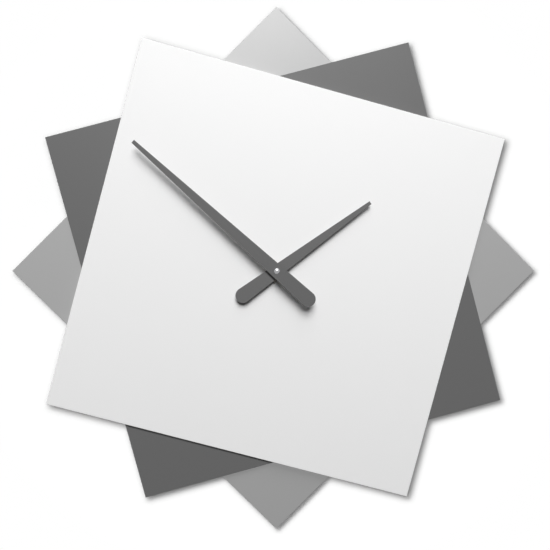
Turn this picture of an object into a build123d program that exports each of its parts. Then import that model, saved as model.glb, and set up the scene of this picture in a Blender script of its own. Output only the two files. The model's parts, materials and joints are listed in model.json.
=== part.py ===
from build123d import *
import math
import os

# A wall clock: three square panels, each turned from the next, clamped on the bush of a quartz movement.
# X is right as seen from the front, Z is up, and the front faces -Y. The wall is the plane Y = 0 and the
# hands turn about the Y axis. Every "rear", "front" or "depth" below is a distance from the wall.

# Panels
panel_side = 320.0
panel_thickness = 3.0
rear_panel_turn = 45.0
panel_turn = 30.0
panel_edge = 0.3

# Hands, with their angles clockwise from 12
minute_angle = 312.0
hour_angle = 53.95
minute_length = 159.9
hour_length = 98.2
minute_tip_width = 3.2
hour_tip_width = 3.0
hand_tail = 35.1
hand_tail_radius = 6.45
hand_thickness = 1.0
hour_hand_height = 3.0
minute_hand_height = 7.6
cap_radius = 2.6
cap_height = 2.6
cap_dome = 3.1

# Fits
running_gap = 0.05
slip_gap = 0.1
end_shake = 0.1
pin_gap = 0.05
half_turn = 180.0

# Hand arbors, bush and clamp
minute_radius = 1.75
minute_seat_radius = 1.4
cap_socket = 1.2
pipe_wall = 0.7
bush_radius = 4.0
bush_flange_width = 11.0
bush_flange = 0.8
nut_across_flats = 10.6
nut_thickness = 2.0
washer_radius = 6.2
washer_thickness = 0.5
rubber_width = 24.0
rubber_thickness = 1.0
collet_wall = 0.9
collet_reach = 1.0

# Battery, size AA
battery_diameter = 14.5
battery_length = 50.5
battery_cap_radius = 2.7
battery_cap_height = 1.2
battery_gap = 0.15

# Movement case
case_wall = 1.2
case_corner = 3.0
case_chamfer = 0.5
front_wall = 1.4
bay_floor = 1.0
finger_notch = 17.0
divider = 1.0
contact_space = 1.55
cover_thickness = 1.4
hook_width = 5.0
hook_thickness = 0.9
hook_barb = 0.7
hook_reach = 3.0
snap_hooks = ((-20.0, 0.0), (14.0, 0.0), (-18.0, 90.0), (4.0, 270.0))

# Setting knob and its dish
knob_radius = 4.5
knob_grooves = 12
knob_groove = 0.8
knob_sink = 0.5
knob_thickness = 2.6
dish_gap = 1.2
dish_wall = 0.9
setting_square = 1.6

# Gear train: tooth counts, distances between axes, and directions in degrees from +X towards +Z
pinion_teeth = 6
intermediate_teeth = 36
seconds_teeth = 30
third_teeth = 45
centre_teeth = 48
cannon_teeth = 8
setting_teeth = 24
setting_pinion_teeth = 8
hour_teeth = 32
third_distance = 10.0
third_direction = 180.0
setting_distance = 10.8
setting_direction = 0.0
intermediate_distance = 10.2
intermediate_direction = 90.0
rotor_distance = 8.0
rotor_direction = 145.0
pressure_angle = math.radians(30)
addendum = 0.8
dedendum = 1.05
tooth_slack = 0.05
wheel_thickness = 0.8
motion_thickness = 1.1
layer_gap = 0.8
pinion_overlap = 0.2
arbor_radius = 0.5
arbor_sides = 8
bearing_depth = 0.7
bridge_thickness = 1.0
bridge_gap = 0.2

# Clutch: the slotted hub of the centre wheel grips the minute arbor's neck, in front of the arbor's head
clutch_radius = 1.1
clutch_head_radius = 1.6
clutch_head = 0.5
clutch_slot = 0.5
clutch_slot_length = 7.0

# Motor
magnet_radius = 2.6
magnet_length = 2.8
air_gap = 0.5
stator_thickness = 1.2
stator_ring = 1.2
stator_notch = 0.8
stator_width = 4.0
motor_half_span = 9.0
core_width = 2.6
bobbin_flange_radius = 3.6
bobbin_flange = 1.2
bobbin_tube = 0.4
winding_radius = 3.0
terminal_width = 0.6
terminal_spread = 2.0
coil_margin = 0.5

# Circuit board and contacts
board_thickness = 0.8
board_right_margin = 1.8
board_bottom = 10.0
board_step = 12.0
blob_radius = 2.0
blob_height = 1.0
blob_taper = 40.0
crystal_radius = 1.0
crystal_length = 6.0
contact_sheet = 0.3
contact_width = 6.0
contact_leaf = 11.0
contact_foot = 1.2
ribbon_width = 1.6

# Posts on the case, with the pins that hold the board, the bridge and the motor
post_width = 3.0
pin_width = 1.2
pin_head = 0.2
board_post_inset = 2.8

# Hanger bracket
hanger_sheet = 0.8
hanger_width = 22.0
hanger_drop = 13.0
hanger_setback = 6.0
hanger_corner = 7.0
eye_radius = 4.0
eye_slot_radius = 2.0
eye_slot_length = 5.5
eye_margin = 6.0


def polar(distance, degrees, start=(0.0, 0.0)):
    """Point at a distance and direction from another, as x and z."""
    turn = math.radians(degrees)
    return (start[0] + distance * math.cos(turn), start[1] + distance * math.sin(turn))


# Axes of the train
hand_axis = (0.0, 0.0)
third_axis = polar(third_distance, third_direction)
setting_axis = polar(setting_distance, setting_direction)
intermediate_axis = polar(intermediate_distance, intermediate_direction)
rotor_axis = polar(rotor_distance, rotor_direction, intermediate_axis)

# Depths of the train, from the wall forwards
bridge_rear = cover_thickness + bridge_gap
bridge_front = bridge_rear + bridge_thickness
intermediate_rear = bridge_front + layer_gap / 2
intermediate_front = intermediate_rear + wheel_thickness
seconds_rear = intermediate_front + layer_gap
seconds_front = seconds_rear + wheel_thickness
third_rear = seconds_front + layer_gap
third_front = third_rear + wheel_thickness
clutch_rear = third_front + layer_gap / 2
centre_rear = clutch_rear + clutch_head + running_gap
centre_front = centre_rear + wheel_thickness
cannon_rear = centre_front + running_gap
setting_rear = cannon_rear + layer_gap
setting_front = setting_rear + motion_thickness
cannon_front = setting_front + pinion_overlap
train_depth = cannon_front + layer_gap / 2 + motion_thickness + end_shake + front_wall

# Case, bay and the stack clamped on the bush
battery_radius = battery_diameter / 2
battery_stack = knob_sink + battery_diameter + battery_gap + bay_floor
case_depth = max(train_depth, battery_stack)
front_inner = case_depth - front_wall
hour_front = front_inner - end_shake
hour_rear = hour_front - motion_thickness
bay_front = case_depth - bay_floor
stator_half = magnet_radius + air_gap + stator_ring
coil_z = rotor_axis[1] + stator_half + coil_margin + winding_radius
coil_top = coil_z + bobbin_flange_radius + coil_margin
inner_half = max(battery_length / 2 + contact_space, coil_top)
case_half = inner_half + case_wall
battery_depth = bay_front - battery_gap - battery_radius
battery_z = -inner_half + battery_gap + battery_radius
divider_bottom = battery_z + battery_radius + battery_gap
divider_top = divider_bottom + divider
hanger_front = case_depth + hanger_sheet
rear_panel_rear = hanger_front + rubber_thickness
middle_panel_rear = rear_panel_rear + panel_thickness
front_panel_rear = middle_panel_rear + panel_thickness
dial_front = front_panel_rear + panel_thickness
washer_front = dial_front + washer_thickness
nut_front = washer_front + nut_thickness
hour_hand_rear = dial_front + hour_hand_height
hour_hand_front = hour_hand_rear + hand_thickness
minute_hand_rear = dial_front + minute_hand_height
minute_hand_front = minute_hand_rear + hand_thickness
minute_collet_rear = minute_hand_rear - collet_reach
pipe_front = hour_hand_front + collet_reach

# Radii that follow from a fit
pipe_bore = minute_radius + running_gap
pipe_radius = pipe_bore + pipe_wall
bush_bore = pipe_radius + running_gap
panel_bore = bush_radius + slip_gap
cup_radius = (arbor_radius + running_gap) / math.cos(math.pi / arbor_sides)
pin_hole = pin_width + 2 * pin_gap
hour_collet_radius = pipe_radius + collet_wall
minute_collet_radius = minute_seat_radius + collet_wall
setting_radius = setting_square / 2 * math.sqrt(2) + running_gap
dish_radius = knob_radius + dish_gap
dish_floor_rear = knob_sink + knob_thickness + layer_gap / 2
dish_floor_front = dish_floor_rear + dish_wall

# Motor places
magnet_rear = intermediate_front + layer_gap
magnet_front = magnet_rear + magnet_length
stator_rear = magnet_rear + magnet_length / 2 - stator_thickness / 2
stator_front = stator_rear + stator_thickness
core_front = stator_front + stator_thickness
coil_depth = stator_front + stator_thickness / 2
motor_posts = tuple((rotor_axis[0] + side * motor_half_span, coil_z) for side in (-1, 1))
bobbin_half = motor_half_span - stator_width / 2 - end_shake
terminal_x = rotor_axis[0] + bobbin_half - bobbin_flange / 2
terminals = tuple((terminal_x, coil_z + side * terminal_spread) for side in (-1, 1))
rotor_post_rear = magnet_front + layer_gap / 2

# Board places
board_front = coil_depth - bobbin_flange_radius - end_shake
board_rear = board_front - board_thickness
board_right = inner_half - board_right_margin
board_top = inner_half - board_right_margin
board_left = terminal_x - bobbin_flange
board_waist = coil_z - bobbin_flange_radius + end_shake
board_posts = (
    (board_right - board_post_inset, board_bottom + board_post_inset),
    (board_step - board_post_inset, coil_z),
)
bridge_posts = ((-21.5, -1.0), (-20.0, 9.5), (9.0, 14.5))
contact_tip = battery_length / 2 + battery_gap + contact_sheet / 2
contact_wall = inner_half - contact_sheet / 2
ribbon_front = bridge_rear + ribbon_width

# Hanger places
eye_rear = case_depth - hanger_setback
hanger_bend = case_half + slip_gap
eye_z = hanger_bend + hanger_setback + hanger_sheet + eye_radius + slip_gap
hanger_top = eye_z + eye_slot_length + eye_slot_radius + eye_margin


def dial_plane(depth, centre=(0.0, 0.0), clockwise=0.0):
    """Plane that faces the front, at a depth from the wall, with its own up direction turned clockwise."""
    turn = math.radians(clockwise)
    return Plane(
        origin=(centre[0], -depth, centre[1]),
        x_dir=(math.cos(turn), 0, -math.sin(turn)),
        z_dir=(0, -1, 0),
    )


def add_disc(centre, rear, front, radius, mode=Mode.ADD):
    """Add or cut a round of the given radius between two depths."""
    with BuildSketch(dial_plane(rear, centre)) as outline:
        Circle(radius)
    extrude(outline.sketch, amount=front - rear, mode=mode)


def add_block(centre, rear, front, width, height, mode=Mode.ADD, clockwise=0.0):
    """Add or cut a rectangle between two depths; its centre is given in the turned plane."""
    with BuildSketch(dial_plane(rear, clockwise=clockwise)) as outline:
        with Locations(centre):
            Rectangle(width, height)
    extrude(outline.sketch, amount=front - rear, mode=mode)


def add_panel(rear, turn):
    """Square sheet with a bush hole and eased edges, turned anticlockwise."""
    with BuildSketch(dial_plane(rear, clockwise=-turn)) as outline:
        Rectangle(panel_side, panel_side)
        Circle(panel_bore, mode=Mode.SUBTRACT)
    sheet = extrude(outline.sketch, amount=panel_thickness)
    rims = [face.outer_wire().edges() for face in sheet.faces().filter_by(Axis.Y)]
    chamfer([edge for rim in rims for edge in rim], panel_edge)


def add_hand(rear, angle, length, tip_width, hole):
    """Straight taper from a round tail to a square-cut tip."""
    with BuildSketch(dial_plane(rear, clockwise=angle)) as outline:
        with Locations((0, -hand_tail)):
            Circle(hand_tail_radius)
        with Locations((0, length - tip_width / 2)):
            Rectangle(tip_width, tip_width)
        make_hull()
        Circle(hole, mode=Mode.SUBTRACT)
    extrude(outline.sketch, amount=hand_thickness)


def involute(angle):
    """Involute function of a pressure angle."""
    return math.tan(angle) - angle


def tooth_outline(teeth, module, direction):
    """Points of a toothed wheel with one tooth centred on a direction, in degrees; flanks are straight."""
    pitch = teeth * module / 2
    base = pitch * math.cos(pressure_angle)
    tip = pitch + addendum * module
    root = pitch - dedendum * module
    low = max(base, root)
    half = math.pi / (2 * teeth) - tooth_slack / (2 * pitch) + involute(pressure_angle)
    flank = [(root, half)] if root < base else []
    for radius in (low, tip):
        flank.append((radius, half - involute(math.acos(base / radius))))
    points = []
    for tooth in range(teeth):
        turn = math.radians(direction) + 2 * math.pi * tooth / teeth
        for side, corners in ((-1, flank), (1, flank[::-1])):
            points += [polar(radius, math.degrees(turn + side * angle)) for radius, angle in corners]
    return points


def add_gear(centre, rear, front, teeth, mate_teeth, distance, direction):
    """Toothed wheel whose size follows from its mate and the distance between their axes."""
    module = 2 * distance / (teeth + mate_teeth)
    with BuildSketch(dial_plane(rear, centre)) as outline:
        with BuildLine():
            Polyline(*tooth_outline(teeth, module, direction), close=True)
        make_face()
    extrude(outline.sketch, amount=front - rear)


def gap_towards(direction, teeth):
    """Tooth direction of a wheel that shows a gap to a mate lying back along a direction."""
    return direction + half_turn + half_turn / teeth


def add_pin(centre, rear, front, radius, mode=Mode.ADD):
    """Add or cut a thin pin between two depths, drawn with few sides; the radius is to its corners."""
    with BuildSketch(dial_plane(rear, centre)) as outline:
        RegularPolygon(radius, arbor_sides)
    extrude(outline.sketch, amount=front - rear, mode=mode)


def add_arbor(centre, front):
    """Arbor from its cup in the bridge to its cup in a front bearing."""
    add_pin(centre, bridge_front - bearing_depth + end_shake, front + bearing_depth - end_shake, arbor_radius)


def cut_cup(centre, mouth, away):
    """Blind bearing cup that opens at a depth and runs away from it, forwards for 1 and rearwards for -1."""
    bottom = mouth + away * bearing_depth
    add_pin(centre, min(mouth, bottom), max(mouth, bottom), cup_radius, Mode.SUBTRACT)


os.makedirs("parts", exist_ok=True)

# Rear panel, light grey, a corner at 12 o'clock
with BuildPart() as rear_panel:
    add_panel(rear_panel_rear, rear_panel_turn)
rear_panel.part.label = "rear_panel"
export_step(rear_panel.part, "parts/rear_panel.step")

# Middle panel, dark grey
with BuildPart() as middle_panel:
    add_panel(middle_panel_rear, rear_panel_turn - panel_turn)
middle_panel.part.label = "middle_panel"
export_step(middle_panel.part, "parts/middle_panel.step")

# Front panel, white
with BuildPart() as front_panel:
    add_panel(front_panel_rear, rear_panel_turn - 2 * panel_turn)
front_panel.part.label = "front_panel"
export_step(front_panel.part, "parts/front_panel.step")

# Minute hand
with BuildPart() as minute_hand:
    add_hand(minute_hand_rear, minute_angle, minute_length, minute_tip_width, minute_collet_radius)
minute_hand.part.label = "minute_hand"
export_step(minute_hand.part, "parts/minute_hand.step")

# Hour hand
with BuildPart() as hour_hand:
    add_hand(hour_hand_rear, hour_angle, hour_length, hour_tip_width, hour_collet_radius)
hour_hand.part.label = "hour_hand"
export_step(hour_hand.part, "parts/hour_hand.step")

# Collets pressed in the hands: the minute hand's stands out behind its blade, the hour hand's in front
with BuildPart() as minute_hand_bushing:
    add_disc(hand_axis, minute_collet_rear, minute_hand_front, minute_collet_radius)
    add_disc(hand_axis, minute_collet_rear, minute_hand_front, minute_seat_radius, Mode.SUBTRACT)
minute_hand_bushing.part.label = "minute_hand_bushing"
export_step(minute_hand_bushing.part, "parts/minute_hand_bushing.step")

with BuildPart() as hour_hand_bushing:
    add_disc(hand_axis, hour_hand_rear, pipe_front, hour_collet_radius)
    add_disc(hand_axis, hour_hand_rear, pipe_front, pipe_radius, Mode.SUBTRACT)
hour_hand_bushing.part.label = "hour_hand_bushing"
export_step(hour_hand_bushing.part, "parts/hour_hand_bushing.step")

# Domed cap pressed on the end of the minute arbor
cap_front = minute_hand_front + cap_height
skirt_front = cap_front - cap_dome + math.sqrt(cap_dome**2 - cap_radius**2)
with BuildPart() as hand_cap:
    with BuildSketch(Plane.XY):
        with BuildLine():
            Polyline(
                (0, -cap_front),
                (0, -minute_hand_front),
                (cap_radius, -minute_hand_front),
                (cap_radius, -skirt_front),
            )
            TangentArc((0, -cap_front), (cap_radius, -skirt_front), tangent=(1, 0))
        make_face()
    revolve(axis=Axis.Y)
    add_disc(hand_axis, minute_hand_front, minute_hand_front + cap_socket, minute_seat_radius, Mode.SUBTRACT)
hand_cap.part.label = "hand_cap"
export_step(hand_cap.part, "parts/hand_cap.step")

# Minute arbor with the cannon pinion; its rear end is the clutch's neck and the front seconds bearing
with BuildPart() as minute_arbor:
    add_disc(hand_axis, clutch_rear, clutch_rear + clutch_head, clutch_head_radius)
    add_disc(hand_axis, clutch_rear, cannon_rear, clutch_radius)
    add_gear(
        hand_axis, cannon_rear, cannon_front, cannon_teeth, setting_teeth,
        setting_distance, setting_direction,
    )
    add_disc(hand_axis, cannon_front, minute_collet_rear, minute_radius)
    add_disc(hand_axis, minute_collet_rear, minute_hand_front + cap_socket, minute_seat_radius)
    cut_cup(hand_axis, clutch_rear, 1)
minute_arbor.part.label = "minute_arbor"
export_step(minute_arbor.part, "parts/minute_arbor.step")

# Hour wheel with the pipe that carries the hour hand
with BuildPart() as hour_wheel:
    add_gear(
        hand_axis, hour_rear, hour_front, hour_teeth, setting_pinion_teeth,
        setting_distance, gap_towards(setting_direction + half_turn, hour_teeth),
    )
    add_disc(hand_axis, hour_front, pipe_front, pipe_radius)
    add_disc(hand_axis, hour_rear, pipe_front, pipe_bore, Mode.SUBTRACT)
hour_wheel.part.label = "hour_wheel"
export_step(hour_wheel.part, "parts/hour_wheel.step")

# Setting wheel: takes the cannon pinion's motion to the hour wheel, and the knob's to both
with BuildPart() as setting_wheel:
    add_gear(
        setting_axis, setting_rear, setting_front, setting_teeth, cannon_teeth,
        setting_distance, gap_towards(setting_direction, setting_teeth),
    )
    add_gear(
        setting_axis, setting_front, hour_front, setting_pinion_teeth, hour_teeth,
        setting_distance, setting_direction + half_turn,
    )
    add_disc(setting_axis, dish_floor_rear - end_shake, setting_rear, setting_radius)
    add_pin(setting_axis, hour_front, front_inner + bearing_depth - end_shake, arbor_radius)
    add_block(setting_axis, 2 * knob_sink, setting_rear, setting_square, setting_square)
setting_wheel.part.label = "setting_wheel"
export_step(setting_wheel.part, "parts/setting_wheel.step")

# Setting knob, grooved for grip, pressed on the square end of the setting wheel
with BuildPart() as setting_knob:
    with BuildSketch(dial_plane(knob_sink, setting_axis)):
        Circle(knob_radius)
        with PolarLocations(knob_radius, knob_grooves):
            Rectangle(knob_groove, knob_groove, mode=Mode.SUBTRACT)
    extrude(amount=knob_thickness)
    knob_front = knob_sink + knob_thickness
    add_block(setting_axis, 2 * knob_sink, knob_front, setting_square, setting_square, Mode.SUBTRACT)
setting_knob.part.label = "setting_knob"
export_step(setting_knob.part, "parts/setting_knob.step")

# Centre wheel, whose slotted hub slips on the minute arbor when the hands are set
with BuildPart() as centre_wheel:
    add_gear(
        hand_axis, centre_rear, centre_front, centre_teeth, pinion_teeth,
        third_distance, gap_towards(third_direction + half_turn, centre_teeth),
    )
    add_block(hand_axis, centre_rear, centre_front, clutch_slot_length, clutch_slot, Mode.SUBTRACT)
    add_disc(hand_axis, centre_rear, centre_front, clutch_radius + running_gap, Mode.SUBTRACT)
centre_wheel.part.label = "centre_wheel"
export_step(centre_wheel.part, "parts/centre_wheel.step")

# Third wheel
with BuildPart() as third_wheel:
    add_gear(
        third_axis, third_rear, third_front, third_teeth, pinion_teeth,
        third_distance, gap_towards(third_direction, third_teeth),
    )
    add_gear(
        third_axis, third_front, centre_front + pinion_overlap, pinion_teeth, centre_teeth,
        third_distance, third_direction + half_turn,
    )
    add_arbor(third_axis, front_inner)
third_wheel.part.label = "third_wheel"
export_step(third_wheel.part, "parts/third_wheel.step")

# Seconds wheel, behind the hands on their axis; this clock shows no seconds hand
with BuildPart() as seconds_wheel:
    add_gear(
        hand_axis, seconds_rear, seconds_front, seconds_teeth, pinion_teeth,
        intermediate_distance, gap_towards(intermediate_direction + half_turn, seconds_teeth),
    )
    add_gear(
        hand_axis, seconds_front, third_front + pinion_overlap, pinion_teeth, third_teeth,
        third_distance, third_direction,
    )
    add_arbor(hand_axis, clutch_rear)
seconds_wheel.part.label = "seconds_wheel"
export_step(seconds_wheel.part, "parts/seconds_wheel.step")

# Intermediate wheel, between the rotor and the seconds wheel
with BuildPart() as intermediate_wheel:
    add_gear(
        intermediate_axis, intermediate_rear, intermediate_front, intermediate_teeth, pinion_teeth,
        rotor_distance, gap_towards(rotor_direction + half_turn, intermediate_teeth),
    )
    add_gear(
        intermediate_axis, intermediate_front, seconds_front + pinion_overlap, pinion_teeth, seconds_teeth,
        intermediate_distance, intermediate_direction + half_turn,
    )
    add_arbor(intermediate_axis, front_inner)
intermediate_wheel.part.label = "intermediate_wheel"
export_step(intermediate_wheel.part, "parts/intermediate_wheel.step")

# Rotor: a pinion on an arbor, and the magnet pressed on it
with BuildPart() as rotor_pinion:
    add_gear(
        rotor_axis, intermediate_rear - pinion_overlap, intermediate_front + pinion_overlap,
        pinion_teeth, intermediate_teeth, rotor_distance, rotor_direction + half_turn,
    )
    add_arbor(rotor_axis, rotor_post_rear)
rotor_pinion.part.label = "rotor_pinion"
export_step(rotor_pinion.part, "parts/rotor_pinion.step")

with BuildPart() as rotor_magnet:
    add_disc(rotor_axis, magnet_rear, magnet_front, magnet_radius)
    add_pin(rotor_axis, magnet_rear, magnet_front, arbor_radius, Mode.SUBTRACT)
rotor_magnet.part.label = "rotor_magnet"
export_step(rotor_magnet.part, "parts/rotor_magnet.step")

# Stator: one sheet around the rotor, necked above and below it, with an arm up to each end of the core
with BuildPart() as stator:
    with BuildSketch(dial_plane(stator_rear)):
        arm_height = coil_z + stator_width / 2 - rotor_axis[1]
        with Locations(rotor_axis):
            Rectangle(2 * stator_half, 2 * stator_half)
            Rectangle(2 * motor_half_span + stator_width, stator_width)
        for post in motor_posts:
            with Locations((post[0], rotor_axis[1] + arm_height / 2)):
                Rectangle(stator_width, arm_height)
            with Locations(post):
                Rectangle(pin_hole, pin_hole, mode=Mode.SUBTRACT)
        with Locations(rotor_axis):
            Circle(magnet_radius + air_gap, mode=Mode.SUBTRACT)
            with PolarLocations(stator_half, 2, 90):
                Rectangle(2 * stator_notch, 2 * stator_notch, mode=Mode.SUBTRACT)
    extrude(amount=stator_thickness)
stator.part.label = "stator"
export_step(stator.part, "parts/stator.step")

# Coil core, a strip across the stator's arms
with BuildPart() as coil_core:
    with BuildSketch(dial_plane(stator_front)):
        with Locations((rotor_axis[0], coil_z)):
            Rectangle(2 * motor_half_span + stator_width, core_width)
        with Locations(*motor_posts):
            Rectangle(pin_hole, pin_hole, mode=Mode.SUBTRACT)
    extrude(amount=stator_thickness)
coil_core.part.label = "coil_core"
export_step(coil_core.part, "parts/coil_core.step")

# Bobbin moulded to slide over the core, with square flanges
with BuildPart() as coil_bobbin:
    with BuildSketch(Plane.YZ.offset(rotor_axis[0] - bobbin_half)):
        with Locations((-coil_depth, coil_z)):
            Rectangle(stator_thickness + 2 * bobbin_tube, core_width + 2 * bobbin_tube)
    extrude(amount=2 * bobbin_half)
    for flange_x in (rotor_axis[0] - bobbin_half, rotor_axis[0] + bobbin_half - bobbin_flange):
        with BuildSketch(Plane.YZ.offset(flange_x)):
            with Locations((-coil_depth, coil_z)):
                Rectangle(2 * bobbin_flange_radius, 2 * bobbin_flange_radius)
        extrude(amount=bobbin_flange)
    with BuildSketch(Plane.YZ.offset(rotor_axis[0] - bobbin_half)):
        with Locations((-coil_depth, coil_z)):
            Rectangle(stator_thickness, core_width)
    extrude(amount=2 * bobbin_half, mode=Mode.SUBTRACT)
    for terminal in terminals:
        add_block(terminal, board_front, stator_front, terminal_width, terminal_width, Mode.SUBTRACT)
coil_bobbin.part.label = "coil_bobbin"
export_step(coil_bobbin.part, "parts/coil_bobbin.step")

# Winding of enamelled copper wire, as one body between the flanges
with BuildPart() as coil_winding:
    with BuildSketch(Plane.YZ.offset(rotor_axis[0] - bobbin_half + bobbin_flange)):
        with Locations((-coil_depth, coil_z)):
            Circle(winding_radius)
            Rectangle(stator_thickness + 2 * bobbin_tube, core_width + 2 * bobbin_tube, mode=Mode.SUBTRACT)
    extrude(amount=2 * bobbin_half - 2 * bobbin_flange)
coil_winding.part.label = "coil_winding"
export_step(coil_winding.part, "parts/coil_winding.step")

# Two terminal pins from the bobbin's flange through the board
with BuildPart() as coil_terminals:
    for terminal in terminals:
        add_block(terminal, board_rear - pin_head, stator_front, terminal_width, terminal_width)
coil_terminals.part.label = "coil_terminals"
export_step(coil_terminals.part, "parts/coil_terminals.step")

# Circuit board, stepped around the train
with BuildPart() as circuit_board:
    with BuildSketch(dial_plane(board_rear)):
        with BuildLine():
            Polyline(
                (board_left, board_top),
                (board_right, board_top),
                (board_right, board_bottom),
                (board_step, board_bottom),
                (board_step, board_waist),
                (board_left, board_waist),
                close=True,
            )
        make_face()
        with Locations(*board_posts):
            Rectangle(pin_hole, pin_hole, mode=Mode.SUBTRACT)
        with Locations(*terminals):
            Rectangle(terminal_width, terminal_width, mode=Mode.SUBTRACT)
    extrude(amount=board_thickness)
circuit_board.part.label = "circuit_board"
export_step(circuit_board.part, "parts/circuit_board.step")

# Resin blob over the chip
chip_place = ((board_step + board_right) / 2, (board_bottom + board_waist) / 2)
with BuildPart() as chip_blob:
    with BuildSketch(dial_plane(board_front, chip_place)):
        Circle(blob_radius)
    extrude(amount=blob_height, taper=blob_taper)
chip_blob.part.label = "chip_blob"
export_step(chip_blob.part, "parts/chip_blob.step")

# Quartz crystal can, lying on the board
with BuildPart() as quartz_crystal:
    with BuildSketch(Plane.YZ.offset(chip_place[0] - crystal_length / 2)):
        with Locations((-board_front - crystal_radius, coil_z)):
            Circle(crystal_radius)
    extrude(amount=crystal_length)
quartz_crystal.part.label = "quartz_crystal"
export_step(quartz_crystal.part, "parts/quartz_crystal.step")

# Battery contacts: a leaf bowed to the battery's end, and a ribbon through the divider to the board
leaf_half = contact_leaf / 2
leaf_rear = battery_depth - contact_width / 2
with BuildPart() as positive_contact:
    with BuildSketch(dial_plane(leaf_rear)):
        with BuildLine():
            Polyline(
                (contact_wall, battery_z - leaf_half),
                (contact_tip, battery_z),
                (contact_wall, battery_z + leaf_half),
            )
        trace(line_width=contact_sheet)
    extrude(amount=contact_width)
    with BuildSketch(dial_plane(bridge_rear)):
        with BuildLine():
            Polyline(
                (contact_wall, battery_z + leaf_half),
                (contact_wall, board_bottom - contact_sheet / 2),
                (board_right - contact_width / 2, board_bottom - contact_sheet / 2),
            )
        trace(line_width=contact_sheet)
    extrude(amount=ribbon_width)
    add_block(
        (contact_wall, battery_z + leaf_half), bridge_rear, leaf_rear + contact_width,
        contact_sheet, contact_foot,
    )
positive_contact.part.label = "positive_contact"
export_step(positive_contact.part, "parts/positive_contact.step")

with BuildPart() as negative_contact:
    with BuildSketch(dial_plane(leaf_rear)):
        with BuildLine():
            Polyline(
                (-contact_wall, battery_z - leaf_half),
                (-contact_tip, battery_z),
                (-contact_wall, battery_z + leaf_half),
            )
        trace(line_width=contact_sheet)
    extrude(amount=contact_width)
    with BuildSketch(dial_plane(bridge_rear)):
        with BuildLine():
            Polyline(
                (-contact_wall, battery_z + leaf_half),
                (-contact_wall, divider_top + contact_sheet / 2),
                (board_right - contact_width, divider_top + contact_sheet / 2),
                (board_right - contact_width, board_bottom),
            )
        trace(line_width=contact_sheet)
    extrude(amount=ribbon_width)
    add_block(
        (-contact_wall, battery_z + leaf_half), bridge_rear, leaf_rear + contact_width,
        contact_sheet, contact_foot,
    )
negative_contact.part.label = "negative_contact"
export_step(negative_contact.part, "parts/negative_contact.step")

# Battery, lying across the bottom of the case with its positive end to the right
with BuildPart() as battery:
    can_length = battery_length - battery_cap_height
    with BuildSketch(Plane.YZ.offset(-battery_length / 2)):
        with Locations((-battery_depth, battery_z)):
            Circle(battery_radius)
    extrude(amount=can_length)
    with BuildSketch(Plane.YZ.offset(can_length - battery_length / 2)):
        with Locations((-battery_depth, battery_z)):
            Circle(battery_cap_radius)
    extrude(amount=battery_cap_height)
battery.part.label = "battery"
export_step(battery.part, "parts/battery.step")

# Train bridge, a plate with the rear bearing cups
with BuildPart() as train_bridge:
    with BuildSketch(dial_plane(bridge_rear)):
        with Locations(*bridge_posts, hand_axis, third_axis, intermediate_axis, rotor_axis):
            Rectangle(post_width, post_width)
        make_hull()
        with Locations(*bridge_posts):
            Rectangle(pin_hole, pin_hole, mode=Mode.SUBTRACT)
    extrude(amount=bridge_thickness)
    for bearing in (hand_axis, third_axis, intermediate_axis, rotor_axis):
        cut_cup(bearing, bridge_front, -1)
train_bridge.part.label = "train_bridge"
export_step(train_bridge.part, "parts/train_bridge.step")

# Threaded bush, put in from inside the case; its square flange sits in the wall and can't turn with the nut
bush_front = nut_front + slip_gap
flange_front = front_inner + bush_flange
with BuildPart() as threaded_bush:
    add_block(hand_axis, front_inner, flange_front, bush_flange_width, bush_flange_width)
    add_disc(hand_axis, front_inner, bush_front, bush_radius)
    add_disc(hand_axis, front_inner, bush_front, bush_bore, Mode.SUBTRACT)
threaded_bush.part.label = "threaded_bush"
export_step(threaded_bush.part, "parts/threaded_bush.step")

# Movement case: gear chamber above, battery trough below, open to the rear
with BuildPart() as movement_case:
    with BuildSketch(dial_plane(cover_thickness)):
        RectangleRounded(2 * case_half, 2 * case_half, case_corner)
    extrude(amount=case_depth - cover_thickness)
    chamfer(movement_case.faces().sort_by(Axis.Y)[0].edges(), case_chamfer)
    chamber_middle = (divider_top + inner_half) / 2
    chamber_height = inner_half - divider_top
    chamber_width = 2 * inner_half
    add_block((0, chamber_middle), cover_thickness, front_inner, chamber_width, chamber_height, Mode.SUBTRACT)
    bay_middle = (divider_bottom - inner_half) / 2
    bay_height = divider_bottom + inner_half
    add_block((0, bay_middle), cover_thickness, bay_front, chamber_width, bay_height, Mode.SUBTRACT)
    add_block((0, -case_half), cover_thickness, battery_depth, finger_notch, 4 * case_wall, Mode.SUBTRACT)
    for side in (-1, 1):
        notch = (side * contact_wall, (divider_bottom + divider_top) / 2)
        notch_front = ribbon_front + slip_gap
        add_block(notch, cover_thickness, notch_front, contact_sheet * 2, divider * 2, Mode.SUBTRACT)
    for post, rear, pin_rear in (
        *((place, bridge_front, bridge_rear) for place in bridge_posts),
        *((place, core_front, stator_rear - pin_head) for place in motor_posts),
        *((place, board_front, board_rear - pin_head) for place in board_posts),
    ):
        add_block(post, rear, front_inner, post_width, post_width)
        add_block(post, pin_rear, front_inner, pin_width, pin_width)
    add_block(rotor_axis, rotor_post_rear, front_inner, post_width, post_width)
    cut_cup(rotor_axis, rotor_post_rear, 1)
    for bearing in (third_axis, setting_axis, intermediate_axis):
        cut_cup(bearing, front_inner, 1)
    add_block(hand_axis, front_inner, flange_front, bush_flange_width, bush_flange_width, Mode.SUBTRACT)
    add_disc(hand_axis, front_inner, case_depth, bush_radius, Mode.SUBTRACT)
    hook_rear = cover_thickness + hook_reach
    for along, side in snap_hooks:
        add_block(
            (along, inner_half), hook_rear, hook_rear + 2 * hook_barb,
            hook_width + 2 * slip_gap, 4 * case_wall, Mode.SUBTRACT, side,
        )
movement_case.part.label = "movement_case"
export_step(movement_case.part, "parts/movement_case.step")

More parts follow.
